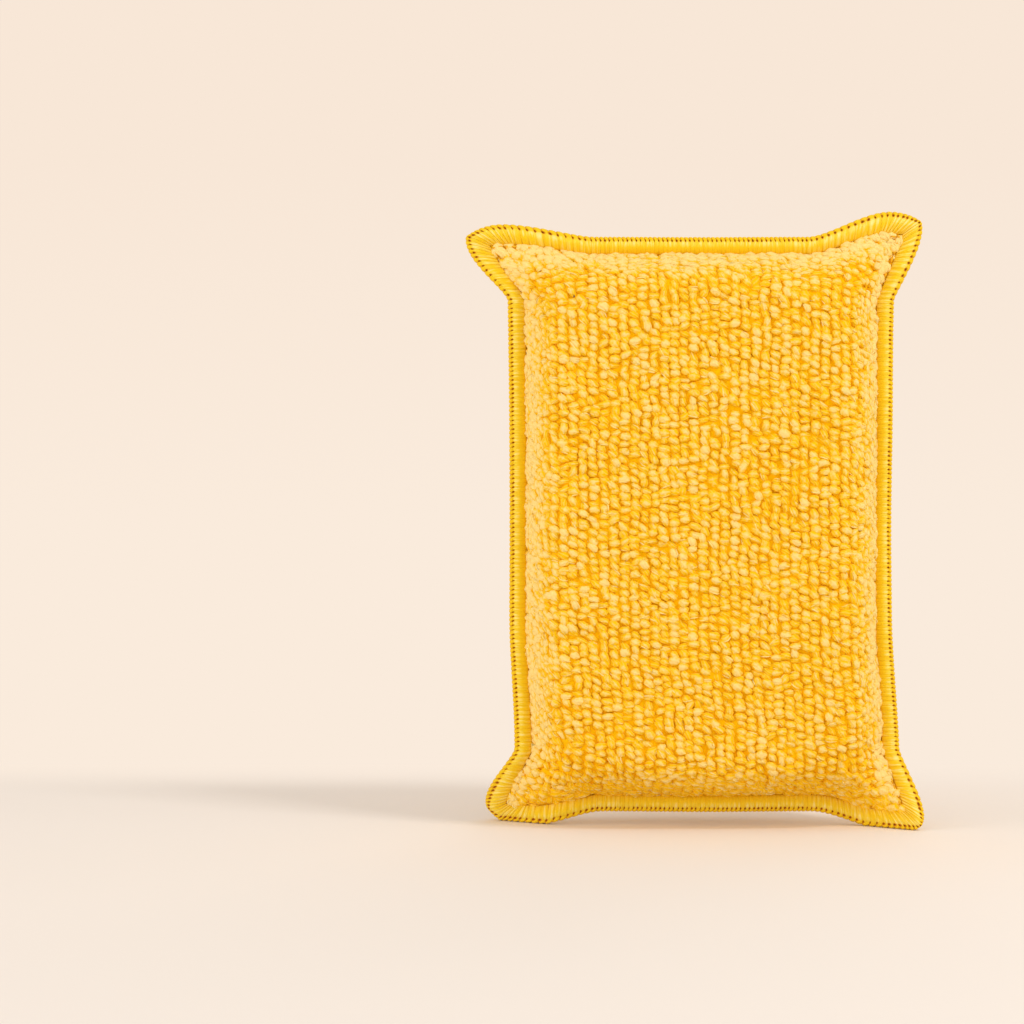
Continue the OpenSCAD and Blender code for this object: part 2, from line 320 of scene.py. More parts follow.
# The cloth under the loops, closed round to its lining; its height puts it low on the terry colours, near the
# painted crevice shade
cloth = {
    "cell": 1.35, "edgeLines": [2.2, 3.0, 3.7, 4.3], "arcSamples": 3000, "arcMargin": 0.02,
    "sunk": 0.3, "sinkWidth": 1.5, "lumps": 0.2, "lumpSeed": 50, "dents": 0.35,
    "height": 0.52, "tone": 0.5, "seeds": {"front": 11, "back": 23},
}


def dentedDepth(x, z, seed):
    return faceDepth(x, z) + cloth["dents"] * slowWaves(x, z, seed) * filling(x, z, pad["faceInset"])


def coverPoint(x, z, side, seed):
    return placeOnPad(x, side * dentedDepth(x, z, seed), z)


def coverNormal(x, z, side, seed, step=0.05):
    across = coverPoint(x + step, z, side, seed) - coverPoint(x - step, z, side, seed)
    upward = coverPoint(x, z + step, side, seed) - coverPoint(x, z - step, side, seed)
    return unit(np.cross(across, upward) * -side)


# Lengths along the bulging face, so that cells and loops keep their size where it curves away
def arcTable(half, alongX):
    d = half - pad["faceInset"] - cloth["arcMargin"]
    t = np.sin(np.linspace(0, np.pi / 2, cloth["arcSamples"])) * d
    depth = faceDepth(t, 0 * t) if alongX else faceDepth(0 * t, t)
    steps = np.hypot(np.diff(t), np.diff(depth))
    return np.concatenate([[0], np.cumsum(steps)]), t


arcX, flatX = arcTable(halfWidth, True)
arcZ, flatZ = arcTable(halfHeight, False)


def xAtArc(a):
    return np.sign(a) * np.interp(np.abs(a), arcX, flatX)


def zAtArc(b):
    return np.sign(b) * np.interp(np.abs(b), arcZ, flatZ)


def gridLines(half, arc, flat):
    outer = np.array([pad["clothEdge"], *cloth["edgeLines"], pad["faceInset"]])
    count = int(round(2 * arc[-1] / cloth["cell"]))
    inner = np.linspace(-arc[-1], arc[-1], count + 1)[1:-1]
    inner = np.sign(inner) * np.interp(np.abs(inner), arc, flat)
    return np.concatenate([outer - half, inner, (half - outer)[::-1]])


def gridFaces(nx, nz, base, turned):
    i, j = np.meshgrid(np.arange(nx - 1), np.arange(nz - 1), indexing="ij")
    a = (base + i * nz + j).ravel()
    quads = np.stack([a, a + nz, a + nz + 1, a + 1], axis=1)
    return quads[:, ::-1] if turned else quads


def makeCloth(which, side, material):
    seed = cloth["seeds"][which]
    lineX = gridLines(halfWidth, arcX, flatX)
    lineZ = gridLines(halfHeight, arcZ, flatZ)
    nx, nz = len(lineX), len(lineZ)
    x, z = [v.ravel() for v in np.meshgrid(lineX, lineZ, indexing="ij")]
    fromBand = np.minimum(halfWidth - np.abs(x), halfHeight - np.abs(z)) - pad["faceInset"]
    inside = smoothStep(fromBand / cloth["sinkWidth"] + 1)
    lumps = cloth["lumps"] * np.random.default_rng(seed + cloth["lumpSeed"]).uniform(-1, 1, len(x))
    sunk = ((cloth["sunk"] + lumps) * inside)[:, None]
    outer = coverPoint(x, z, side, seed) - coverNormal(x, z, side, seed) * sunk
    lining = placeOnPad(x, side * liningDepth(x, z), z)
    rim = np.concatenate([
        np.arange(nx - 1) * nz, (nx - 1) * nz + np.arange(nz - 1),
        np.arange(nx - 1, 0, -1) * nz + nz - 1, np.arange(nz - 1, 0, -1)])
    after = np.roll(rim, -1)
    half = nx * nz
    wall = np.stack([rim, rim + half, after + half, after], axis=1)
    if side > 0:
        wall = wall[:, ::-1]
    faces = np.concatenate([gridFaces(nx, nz, 0, side > 0), gridFaces(nx, nz, half, side < 0), wall])
    points = np.concatenate([outer, lining])
    shade = np.tile([cloth["height"], cloth["tone"], 0.0], (len(points), 1))
    piece = makePiece(which + "_cloth", points, faces, {"loop": shade}, material)
    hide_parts(which + "_cover")


# The loops: short fat arches of soft yarn that stand in columns and lean down to the right
loops = {
    "column": 2.2, "row": 1.6, "fromEdge": 0.2, "seed": 100,
    "slide": 0.37, "slideSpread": 0.15, "columnSpread": 0.17, "rowSpread": 0.13,
    "wander": 0.8, "wanderScale": 1.6, "wanderSeed": 9,
    "crowdedBelow": 0.85, "earRoom": 0.62, "fillFrom": 1.18, "fillWithin": 13.0,
    "overhang": 0.9, "overhangFrom": 3.0, "overhangAtEars": 0.8, "overhangMore": 0.2,
    "earsEnd": 4.0, "earsFade": 12.0,
    "length": 2.75, "lengthSpread": 0.12, "width": 2.05, "widthSpread": 0.1,
    "thickness": 1.85, "thicknessSpread": 0.08, "curve": 0.2, "top": 0.6, "topSpread": 0.15, "foot": -0.8,
    "lean": -26.0, "leanSpread": 20.0, "leanWander": 32.0, "leanScale": 1.5, "leanSeed": 5,
    "strays": 0.1, "straySpread": 38.0, "leastSize": 0.25,
    "archShape": 0.6, "endSwell": 0.42, "midSwell": 0.58, "swellShape": 0.5, "taper": 0.25, "knobs": 0.13,
    "flankFrom": 13.0, "flankWidth": 8.0, "fullFlanks": 0.24, "flankPaintedSheen": 0.5, "paintedShadeBelow": 0.42,
    "tone": 0.5, "toneSpread": 0.15, "ownTop": 0.6, "usualTop": 0.4, "heightScale": 1.3,
    "rings": 5, "sides": 8,
}


def bulge(fromEdge, fromCorner):
    straight = smoothStep((fromCorner - loops["earsEnd"]) / loops["earsFade"])
    share = loops["overhangAtEars"] + loops["overhangMore"] * straight
    return loops["overhang"] * fadeOut(fromEdge / loops["overhangFrom"]) * share


def panelPoint(a, b, side, seed):
    x, z = xAtArc(a), zAtArc(b)
    # Along the straight sides the loops bulge over the inner edge of the stitched band
    fromX = halfWidth - pad["faceInset"] - np.abs(x)
    fromZ = halfHeight - pad["faceInset"] - np.abs(z)
    outX = x + np.sign(x) * bulge(fromX, fromZ)
    outZ = z + np.sign(z) * bulge(fromZ, fromX)
    return placeOnPad(outX, side * dentedDepth(x, z, seed), outZ)


def panelSlopes(a, b, side, seed, step=0.1):
    across = (panelPoint(a + step, b, side, seed) - panelPoint(a - step, b, side, seed)) / (2 * step)
    upward = (panelPoint(a, b + step, side, seed) - panelPoint(a, b - step, side, seed)) / (2 * step)
    return across, upward


def loopPlaces(side, seed, rng):
    reachA = arcX[-1] - loops["fromEdge"]
    reachB = arcZ[-1] - loops["fromEdge"]
    columns = int(round(2 * reachA / loops["column"])) + 1
    rows = int(round(2 * reachB / loops["row"])) + 1
    i, j = np.meshgrid(np.arange(columns), np.arange(rows), indexing="ij")
    slide = np.cumsum(rng.normal(loops["slide"], loops["slideSpread"], columns))[:, None] % 1.0 - 0.5
    a = (i / (columns - 1) * 2 - 1) * reachA + rng.normal(0, loops["columnSpread"], i.shape)
    b = ((j + slide) / (rows - 1) * 2 - 1) * reachB + rng.normal(0, loops["rowSpread"], i.shape)
    wander = slowWaves(loops["wanderScale"] * a, loops["wanderScale"] * b, seed + loops["wanderSeed"])
    a = a + loops["wander"] * wander * (1 - np.square(a / reachA))
    a, b = a.ravel(), np.clip(b, -reachB, reachB).ravel()
    across, upward = panelSlopes(a, b, side, seed)
    area = np.linalg.norm(np.cross(across, upward), axis=1)
    centre = panelPoint(a, b, side, seed)
    # Towards the ears the panel narrows, so only loops with room round them stay there
    kept = list(np.nonzero(area >= loops["crowdedBelow"])[0])
    rest = np.nonzero(area < loops["crowdedBelow"])[0]
    room = loops["earRoom"] * np.sqrt(loops["column"] * loops["row"])
    for k in rest[np.argsort(-area[rest] + rng.uniform(0, 0.1, len(rest)))]:
        if np.min(np.sum(np.square(centre[kept] - centre[k]), axis=1)) > room ** 2:
            kept.append(k)
    kept = np.sort(np.array(kept))
    a, b, across, upward = a[kept], b[kept], across[kept], upward[kept]
    # Over the corners of the filling it is stretched, so more loops fill the gaps there
    gapA = ((i[:-1] + 0.5) / (columns - 1) * 2 - 1) * reachA
    gapB = ((j[:-1] + 0.5 + slide[:-1]) / (rows - 1) * 2 - 1) * reachB
    gapA, gapB = openGaps(gapA.ravel(), np.clip(gapB, -reachB, reachB).ravel(), centre[kept], side, seed)
    moreAcross, moreUpward = panelSlopes(gapA, gapB, side, seed)
    print("a panel has", len(a), "loops in columns and", len(gapA), "more in its gaps")
    return (np.concatenate([a, gapA]), np.concatenate([b, gapB]),
            np.concatenate([across, moreAcross]), np.concatenate([upward, moreUpward]))


# Near the seam, the places between the columns that are far enough from every loop, widest first
def openGaps(a, b, centre, side, seed):
    spot = panelPoint(a, b, side, seed)
    tree = KDTree(len(centre))
    for k, point in enumerate(centre):
        tree.insert(point, k)
    tree.balance()
    free = np.array([tree.find(point)[2] for point in spot])
    fromSeam = np.minimum(arcX[-1] - np.abs(a), arcZ[-1] - np.abs(b))
    free = np.where(fromSeam < loops["fillWithin"], free, 0)
    added = []
    for k in np.argsort(-free):
        if free[k] < loops["fillFrom"]:
            break
        if all(np.linalg.norm(spot[k] - spot[m]) > loops["fillFrom"] for m in added):
            added.append(k)
    return a[added], b[added]


def onFlank(fromSeam):
    return smoothStep((loops["flankFrom"] - fromSeam) / loops["flankWidth"])


def makeLoops(which, side, material):
    seed = cloth["seeds"][which]
    rng = np.random.default_rng(seed + loops["seed"])
    a, b, across, upward = loopPlaces(side, seed, rng)
    count = len(a)
    sizeA = np.maximum(np.linalg.norm(across, axis=1), loops["leastSize"])
    sizeB = np.maximum(np.linalg.norm(upward, axis=1), loops["leastSize"])
    normal = unit(np.cross(across, upward) * -side)
    wander = slowWaves(a * loops["leanScale"], b * loops["leanScale"], seed + loops["leanSeed"])
    lean = loops["lean"] + rng.normal(0, loops["leanSpread"], count) + loops["leanWander"] * wander
    lean = np.radians(lean)
    stray = rng.random(count) < loops["strays"]
    lean = np.where(stray, lean + np.radians(rng.normal(0, loops["straySpread"], count)), lean) * -side
    length = loops["length"] * rng.normal(1, loops["lengthSpread"], count)
    width = loops["width"] / 2 * rng.normal(1, loops["widthSpread"], count)
    thick = loops["thickness"] / 2 * rng.normal(1, loops["thicknessSpread"], count)
    curve = rng.normal(0, loops["curve"], count)
    top = loops["top"] + rng.normal(0, loops["topSpread"], count)
    # On the flanks the loops stand fuller, so that no ground shows between them
    fromSide = arcX[-1] - np.abs(a)
    flanks = onFlank(np.minimum(fromSide, arcZ[-1] - np.abs(b)))
    length = length * (1 + loops["fullFlanks"] * flanks)
    width = width * (1 + loops["fullFlanks"] * flanks)
    # Painted light: the upper and side flanks are painted paler than the face as a painted sheen, and the lowest
    # one deeper as a painted shade
    below = onFlank(arcZ[-1] + b)
    pale = onFlank(np.minimum(fromSide, arcZ[-1] - b)) * (1 - 0.5 * below)
    tone = rng.normal(loops["tone"], loops["toneSpread"], count) + loops["flankPaintedSheen"] * pale
    tone = tone - loops["paintedShadeBelow"] * below * (1 - pale)
    t = np.linspace(0, 1, loops["rings"])
    arch = np.sin(np.pi * t)
    taper = 1 + rng.normal(0, loops["taper"], count)[:, None] * (2 * t - 1)
    swell = loops["endSwell"] + loops["midSwell"] * np.power(arch, loops["swellShape"]) * taper
    along = (t - 0.5) * length[:, None]
    aside = curve[:, None] * arch
    lift = loops["foot"] + (top - thick - loops["foot"])[:, None] * np.power(arch, loops["archShape"])
    da = (np.cos(lean)[:, None] * along - np.sin(lean)[:, None] * aside) / sizeA[:, None]
    db = (np.sin(lean)[:, None] * along + np.cos(lean)[:, None] * aside) / sizeB[:, None]
    spine = panelPoint(a[:, None] + da, b[:, None] + db, side, seed) + normal[:, None] * lift[..., None]
    heading = unit(np.gradient(spine, axis=1))
    sideways = unit(np.cross(heading, np.broadcast_to(normal[:, None], heading.shape)))
    up = np.cross(sideways, heading)
    phi = roundTube(loops["sides"])
    wide = (width[:, None] * swell)[..., None]
    tall = (thick[:, None] * swell)[..., None]
    ringWide = wide[..., None] * np.cos(phi)[:, None]
    ringTall = tall[..., None] * np.sin(phi)[:, None]
    knobs = 1 + loops["knobs"] * rng.normal(0, 1, ringWide.shape)
    points = spine[:, :, None] + (sideways[:, :, None] * ringWide + up[:, :, None] * ringTall) * knobs
    # For the colour: how high each point stands against the loop's top, which sets the painted shade low down and
    # the painted highlight on top, its tone and its run
    height = lift[..., None] + ringTall[..., 0] - loops["ownTop"] * top[:, None, None]
    height = 1 + (height - loops["usualTop"] * loops["top"]) / loops["heightScale"]
    level = 0 * height
    shade = np.stack([height, tone[:, None, None] + level, t[:, None] + level], axis=-1)
    turn = np.stack([np.cos(phi) + level, np.sin(phi) + level, level], axis=-1)
    for part, chosen in (("lower", b < 0), ("upper", b >= 0)):
        faces = tubeFaces(chosen.sum(), loops["rings"], loops["sides"])
        makePiece(f"{which}_loops_{part}", points[chosen], faces,
                  {"loop": shade[chosen], "turn": turn[chosen]}, material)
    makeStrands(which, spine, sideways * wide, up * tall, t, rng)


# On many loops one strand of the yarn stands proud and catches the light; its paler colour is a painted highlight
loose = {
    "share": 0.26, "width": 0.34, "widthSpread": 0.2, "endWidth": 0.25, "midWidth": 0.75,
    "reach": 0.62, "shift": 0.15, "proud": 0.99, "lie": 78.0, "lieSpread": 32.0, "crossing": 50.0,
    "pale": 0.6, "paleSpread": 0.3, "sides": 4,
}


def makeStrands(which, spine, wide, tall, t, rng):
    chosen = rng.random(len(spine)) < loose["share"]
    spine, wide, tall = spine[chosen], wide[chosen], tall[chosen]
    count = len(spine)
    # A shorter run along the middle of its loop, shifted to either end by chance
    shift = rng.uniform(-loose["shift"], loose["shift"], count)[:, None]
    at = (0.5 + shift + (t - 0.5) * loose["reach"]) * (len(t) - 1)
    at = np.clip(at, 0, len(t) - 1.001)
    low = at.astype(int)
    part = (at - low)[..., None]
    rows = np.arange(count)[:, None]
    spine, wide, tall = [v[rows, low] * (1 - part) + v[rows, low + 1] * part for v in (spine, wide, tall)]
    lie = rng.normal(loose["lie"], loose["lieSpread"], count)[:, None]
    lie = np.radians(lie + rng.normal(0, loose["crossing"], count)[:, None] * (t - 0.5))[..., None]
    outward = wide * np.cos(lie) + tall * np.sin(lie)
    middle = spine + outward * loose["proud"]
    heading = unit(np.gradient(middle, axis=1))
    out = unit(outward)
    across = unit(np.cross(heading, out))
    slim = loose["endWidth"] + loose["midWidth"] * np.sin(np.pi * t)
    radius = loose["width"] / 2 * rng.normal(1, loose["widthSpread"], count)[:, None] * slim
    phi = roundTube(loose["sides"])
    ring = across[:, :, None] * np.cos(phi)[:, None] + out[:, :, None] * np.sin(phi)[:, None]
    points = middle[:, :, None] + ring * radius[..., None, None]
    faces = tubeFaces(count, len(t), loose["sides"])[:, [0, 3, 2, 1]]
    # How pale each loose strand is painted: a painted highlight
    pale = np.clip(rng.normal(loose["pale"], loose["paleSpread"], count), 0, 1)[:, None, None]
    shade = np.stack(np.broadcast_arrays(1.0 + 0 * points[..., 0], pale, 0.5), axis=-1)
    makePiece(which + "_loose_strands", points, faces, {"loop": shade}, strandLook)


loopsLook = terryLook("terry_loops", "loops")
strandLook = terryLook("terry_strands", "strands")
clothLook = terryLook("terry_ground", "ground")
for which, side in (("front", -1), ("back", 1)):
    makeCloth(which, side, clothLook)
    makeLoops(which, side, loopsLook)

# The looper thread over the edge: a satin band of fine strands, with a row of beads and small holes outside
looper = {
    "stitch": 0.98, "stations": 8, "fanLength": 8.0, "seeds": {"front": 31, "back": 47},
    "sizeSpread": 0.14, "toneSpread": 0.16, "strandDepth": 0.14, "deeperAtEars": 0.6, "earReach": 34.0,
    "ribs": 0.65, "fineRibs": 0.35, "ribLevel": 0.6,
    "beadDepth": 0.34, "beadSkew": 0.35, "beadShape": 0.6, "edgeHeight": 1.4,
    "holeAt": 0.9, "holeDepth": 0.5, "holeWidth": 0.28, "holeSize": 0.67, "holeSpread": 0.26,
    "holeLeast": 0.2, "holeMost": 1.2, "holeShift": 0.04, "earHoles": 0.55, "earLength": 18.0, "tipLength": 3.0,
    "slackAt": -58.0, "slackLength": 0.7, "slackHole": 0.9,
    "valleyWidth": 0.1, "valleyPaintedShade": 0.05, "valleyPaintedShadeAtEars": 0.06, "strandFineness": 0.12, "sideShift": 300.0,
    # light and glint are painted highlights, inner the deeper yellow for the random tone and a painted shade
    # towards the terry, rim and hole painted shade at the holes
    "light": paint(243, 212, 52), "body": paint(242, 203, 16), "inner": paint(239, 185, 6),
    "paintedGlint": paint(252, 228, 142), "rim": paint(206, 120, 4), "hole": paint(164, 92, 8),
    "streaks": 2.6, "streakPaintedShade": 0.6, "paintedGlintStrength": 0.9,
}
# Across the band, from the seam over the edge and back under: distance from the edge, height,
# then the share of the beads, of the strands and of the holes there
bandOutline = np.array([
    [0.02, 0.0, 1.0, 0.0, 0.0], [0.0, 0.5, 1.0, 0.0, 0.0], [0.08, 0.95, 1.0, 0.0, 0.0],
    [0.28, 1.28, 1.0, 0.0, 0.0], [0.52, 1.44, 0.8, 0.0, 0.0], [0.72, 1.44, 0.5, 0.0, 0.5],
    [0.9, 1.4, 0.2, 0.0, 1.0], [1.08, 1.52, 0.0, 0.3, 0.5], [1.3, 1.7, 0.0, 0.8, 0.0],
    [1.7, 1.86, 0.0, 1.0, 0.0], [2.3, 1.93, 0.0, 1.0, 0.0], [2.9, 1.86, 0.0, 1.0, 0.0],
    [3.5, 1.66, 0.0, 0.9, 0.0], [3.9, 1.46, 0.0, 0.7, 0.0], [4.05, 1.22, 0.0, 0.0, 0.0],
    [2.2, 1.2, 0.0, 0.0, 0.0], [1.25, 1.12, 0.0, 0.0, 0.0], [1.2, 0.3, 0.0, 0.0, 0.0],
    [0.6, 0.0, 0.0, 0.0, 0.0]])
bandWidth = 4.1


# Sides 0 to 3 are the bottom, the right, the top and the left; the ribs fan out at the corners
def rimPoint(side, along, inward):
    half = np.where(side % 2 == 0, halfWidth, halfHeight)
    straight = half - looper["fanLength"]
    spread = straight + (np.abs(along) - straight) * (looper["fanLength"] - inward) / looper["fanLength"]
    along = np.where(np.abs(along) < straight, along, np.sign(along) * spread)
    sense = np.where(side < 2, 1, -1)
    x = np.where(side % 2 == 0, sense * along, sense * (halfWidth - inward))
    z = np.where(side % 2 == 0, sense * (inward - halfHeight), sense * along)
    return x, z


def rimStations(pitch, perStitch):
    side, along, stitch, phase = [], [], [], []
    for k in range(4):
        half = halfWidth if k % 2 == 0 else halfHeight
        count = int(round(2 * half / pitch))
        place = np.arange(count * perStitch)
        side.append(np.full(len(place), k))
        along.append(half * (2 * place / len(place) - 1))
        stitch.append(place // perStitch + (stitch[-1][-1] + 1 if stitch else 0))
        phase.append(place % perStitch / perStitch)
    return [np.concatenate(v) for v in (side, along, stitch, phase)]


def makeLooper(which, out, material):
    side, along, stitch, phase = rimStations(looper["stitch"], looper["stations"])
    rng = np.random.default_rng(looper["seeds"][which])
    stitches = stitch.max() + 1
    size = rng.normal(1, looper["sizeSpread"], stitches)[stitch]
    holeSize = rng.normal(looper["holeSize"], looper["holeSpread"], stitches)
    holeSize = np.clip(holeSize, looper["holeLeast"], looper["holeMost"])[stitch]
    holeShift = rng.normal(0, looper["holeShift"], stitches)[stitch]
    toneOf = rng.normal(0.5, looper["toneSpread"], stitches * 2)[stitch * 2 + (phase >= 0.5)]
    half = np.where(side % 2 == 0, halfWidth, halfHeight)
    fromTip = half - np.abs(along)
    # Where an ear stretches the edge, the holes open wider
    holeSize = holeSize * (1 + looper["earHoles"] * fadeOut(fromTip / looper["earLength"]))
    # Near the lower right ear's tip one stitch is slack
    slack = (side == 1) * np.exp(-np.square((along - looper["slackAt"]) / looper["slackLength"]))
    holeSize = holeSize * (1 + looper["slackHole"] * slack)
    inward, height, bead, strand, hole = [row[None] + np.zeros((len(side), 1)) for row in bandOutline.T]
    inward = inward + np.where(hole > 0, holeShift[:, None], 0)
    onRib = np.abs(np.sin(np.pi * phase))
    # Between two beads the thread sinks, at the outer edge inwards and on top downwards
    groove = (1 - np.power(onRib, looper["beadShape"])) * looper["beadDepth"] * size
    outer = np.clip(1 - bandOutline[:, 1] / looper["edgeHeight"], 0, 1)[None]
    inward = inward + groove[:, None] * bead * (0.25 + 0.75 * outer)
    height = height - groove[:, None] * bead * (1 - outer)
    # Each stitch is a rib of two strands, deeper towards the ears
    ribs = looper["ribs"] * onRib + looper["fineRibs"] * np.abs(np.sin(2 * np.pi * phase)) - looper["ribLevel"]
    wide = fadeOut(fromTip / looper["earReach"])
    ridge = looper["strandDepth"] * ribs * (1 + looper["deeperAtEars"] * wide)
    height = height + ridge[:, None] * strand * (0.7 + 0.6 * toneOf[:, None])
    far = np.minimum(phase, 1 - phase) * looper["stitch"] / (looper["holeWidth"] * holeSize)
    pit = np.maximum(1 - far, 0)[:, None] * hole
    height = height - looper["holeDepth"] * pit
    # The beads lie askew, apart from those at the very tips
    skew = looper["beadSkew"] * np.clip(1 - inward / looper["holeAt"], 0, 1)
    skew = skew * (1 - fadeOut(fromTip / looper["tipLength"]))[:, None]
    x, z = rimPoint(side[:, None], along[:, None] + skew * np.where(side < 2, -1, 1)[:, None], inward)
    points = placeOnPad(x, out * height, z)
    n, m = inward.shape
    i, k = np.meshgrid(np.arange(n), np.arange(m), indexing="ij")
    first, second = i * m + k, i * m + (k + 1) % m
    third, fourth = (i + 1) % n * m + (k + 1) % m, (i + 1) % n * m + k
    faces = np.stack([first, second, third, fourth], axis=-1).reshape(-1, 4)
    if out < 0:
        faces = faces[:, ::-1]
    acrossBand = np.broadcast_to(bandOutline[:, 0] / bandWidth, inward.shape)
    # Painted shade: dark in the holes, in the grooves between the beads and in the valleys between the ribs
    valleyPaintedShade = (onRib < looper["valleyWidth"]) * (looper["valleyPaintedShade"] + looper["valleyPaintedShadeAtEars"] * wide)
    valleyPaintedShade = (valleyPaintedShade * np.clip(2 - 2 * toneOf, 0.4, 1.6))[:, None] * strand * (0.5 + 5.0 * acrossBand ** 6)
    paintedThreadShade = np.clip(1.5 * pit + groove[:, None] * bead * 0.9 + valleyPaintedShade, 0, 1)
    shade = np.stack(np.broadcast_arrays(paintedThreadShade, toneOf[:, None], acrossBand), axis=-1)
    arc = along[:, None] + looper["sideShift"] * side[:, None]
    lie = np.stack(np.broadcast_arrays(arc, inward * looper["strandFineness"], 7.0 * out), axis=-1)
    rib = np.stack(np.broadcast_arrays(wide[:, None], onRib[:, None] * strand, 0 * inward), axis=-1)
    piece = makePiece(which + "_looper_stitches", points, faces,
                      {"stitch": shade, "strand": lie, "rib": rib}, material)
    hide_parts(which + "_looper_thread")


# What both kinds of thread share in their finish
thread = {
    # Across the band: a painted highlight on its outer crown (light) and painted shade deepening to its inner
    # edge (inner)
    "tones": [(0.0, "body"), (0.2, "body"), (0.3, "light"), (0.42, "light"), (0.56, "body"), (0.97, "inner")],
    "fibreScale": 4200.0, "patchScale": 90.0, "uneven": 0.4, "streakRelief": 2.0,
    "bumpDepth": 0.00008, "bump": 0.7, "roughness": 0.6, "sheen": 0.05, "specular": 0.15,
}


def threadLook(name, colours):
    material, tree, shader = newMaterial(name)
    where = objectPlace(tree)
    stitch = attributeParts(tree, "stitch")
    lie = addNode(tree, "Attribute", attribute_name="strand").outputs["Vector"]
    streaks = noise(tree, lie, colours["streaks"])
    fibres = noise(tree, where, thread["fibreScale"])
    patches = noise(tree, where, thread["patchScale"], 2.0)
    colour = colourRamp(tree, stitch[2], [(place, colours[tone]) for place, tone in thread["tones"]])
    uneven = addShare(tree, calc(tree, "MULTIPLY", stitch[1], thread["uneven"]), patches, thread["uneven"])
    colour = mixColour(tree, calc(tree, "MULTIPLY", uneven, thread["uneven"]), colour, colours["inner"])
    # Painted shade in the fine streaks between the strands
    paintedStreakMix = mapRange(tree, streaks, 0.52, 0.7, colours["streakPaintedShade"])
    colour = mixColour(tree, paintedStreakMix, colour, colours["inner"])
    # Painted highlights: pale glints on the ribs, next to the holes and all over the ears
    rib = attributeParts(tree, "rib")
    zone = addShare(tree, mapRange(tree, stitch[2], 0.6, 0.36), rib[0], 0.6)
    paintedGlints = calc(tree, "MULTIPLY", mapRange(tree, streaks, 0.53, 0.4), rib[1])
    paintedGlints = calc(tree, "MULTIPLY", paintedGlints, calc(tree, "MINIMUM", zone, 1.0))
    colour = mixColour(tree, calc(tree, "MULTIPLY", paintedGlints, colours["paintedGlintStrength"]), colour, colours["paintedGlint"])
    # Painted shade: brown round the holes, in the grooves and the valleys, and dark inside the holes
    paintedRimShade = mixColour(tree, mapRange(tree, stitch[0], 0.0, 0.5), colour, colours["rim"])
    colour = mixColour(tree, mapRange(tree, stitch[0], 0.35, 0.9), paintedRimShade, colours["hole"])
    applyFinish(tree, shader, colour, addShare(tree, fibres, streaks, thread["streakRelief"]), thread)
    shader.inputs["Sheen Weight"].default_value = thread["sheen"]
    shader.inputs["Specular IOR Level"].default_value = thread["specular"]
    return material


looperLook = threadLook("looper_thread", looper)
makeLooper("front", -1, looperLook)
makeLooper("back", 1, looperLook)

# The needle thread: a row of short stitches along the inner edge of the band
needle = {
    "stitch": 1.15, "inset": 4.45, "height": 1.5, "heightSpread": 0.02, "bow": 0.16,
    "length": 0.95, "thickness": 0.5, "endThickness": 0.55, "midThickness": 0.45,
    "rings": 5, "sides": 6, "seed": 5, "endPaintedShade": 0.5, "toneSpread": 0.15, "bandTone": 0.5,
    # As on the looper: light and glint are painted highlights, inner, rim and hole painted shade
    "light": paint(245, 190, 30), "body": paint(240, 176, 16), "inner": paint(226, 148, 8),
    "paintedGlint": paint(252, 216, 110), "rim": paint(206, 122, 6), "hole": paint(150, 76, 6),
    "streaks": 2.6, "streakPaintedShade": 0.3, "paintedGlintStrength": 0.3,
}


def makeNeedleStitches(material):
    points, shades = [], []
    rng = np.random.default_rng(needle["seed"])
    for out in (-1, 1):
        side, along, stitch, phase = rimStations(needle["stitch"], 1)
        half = np.where(side % 2 == 0, halfWidth, halfHeight)
        inner = (half - needle["inset"])[:, None]
        t = np.linspace(-0.5, 0.5, needle["rings"])
        place = along[:, None] * (inner / half[:, None]) + t * needle["length"]
        place = np.clip(place, -inner, inner)
        sense = np.where(side < 2, 1, -1)[:, None]
        level = (side % 2 == 0)[:, None]
        x = np.where(level, sense * place, sense * (halfWidth - needle["inset"]))
        z = np.where(level, sense * (needle["inset"] - halfHeight), sense * place)
        bow = np.cos(np.pi * t)
        y = needle["height"] + needle["bow"] * (bow - 1) + rng.normal(0, needle["heightSpread"], (len(side), 1))
        spine = placeOnPad(x, out * y, z)
        heading = unit(np.gradient(spine, axis=1) + 1e-9)
        sideways = unit(np.cross(heading, np.array([0.0, out, 0.0])))
        up = np.cross(sideways, heading)
        radius = needle["thickness"] / 2 * (needle["endThickness"] + needle["midThickness"] * bow)
        phi = roundTube(needle["sides"])
        ring = (spine[:, :, None] + sideways[:, :, None] * (radius[:, None] * np.cos(phi))[None, ..., None]
                + up[:, :, None] * (radius[:, None] * np.sin(phi))[None, ..., None])
        points.append(ring)
        # Painted shade at each stitch's ends, where it sinks into the cloth
        paintedEndDarkness = (1 - bow)[None, :, None] * needle["endPaintedShade"]
        tone = rng.normal(0.5, needle["toneSpread"], (len(side), 1, 1))
        flat = np.zeros(ring.shape[:3])
        shades.append(np.stack([paintedEndDarkness + flat, tone + flat, needle["bandTone"] + flat], axis=-1))
    points = np.concatenate(points)
    faces = tubeFaces(len(points), needle["rings"], needle["sides"])
    shade = np.concatenate(shades)
    piece = makePiece("needle_stitches", points, faces, {"stitch": shade}, material)
    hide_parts("needle_thread")


makeNeedleStitches(threadLook("needle_thread", needle))

# Two dark flecks of lint that the front face has caught
lint = {
    "places": [(-28.1, 49.6), (-24.5, -42.7)], "size": 0.32, "longer": 2.2, "proud": 0.5, "tilt": 0.8,
    "bend": 0.05, "least": 0.8, "most": 1.2, "flatter": 0.5, "rings": 6, "sides": 6, "seed": 3,
    "colour": paint(96, 70, 48), "lighter": paint(140, 104, 66), "speckScale": 3000.0, "roughness": 0.9,
}


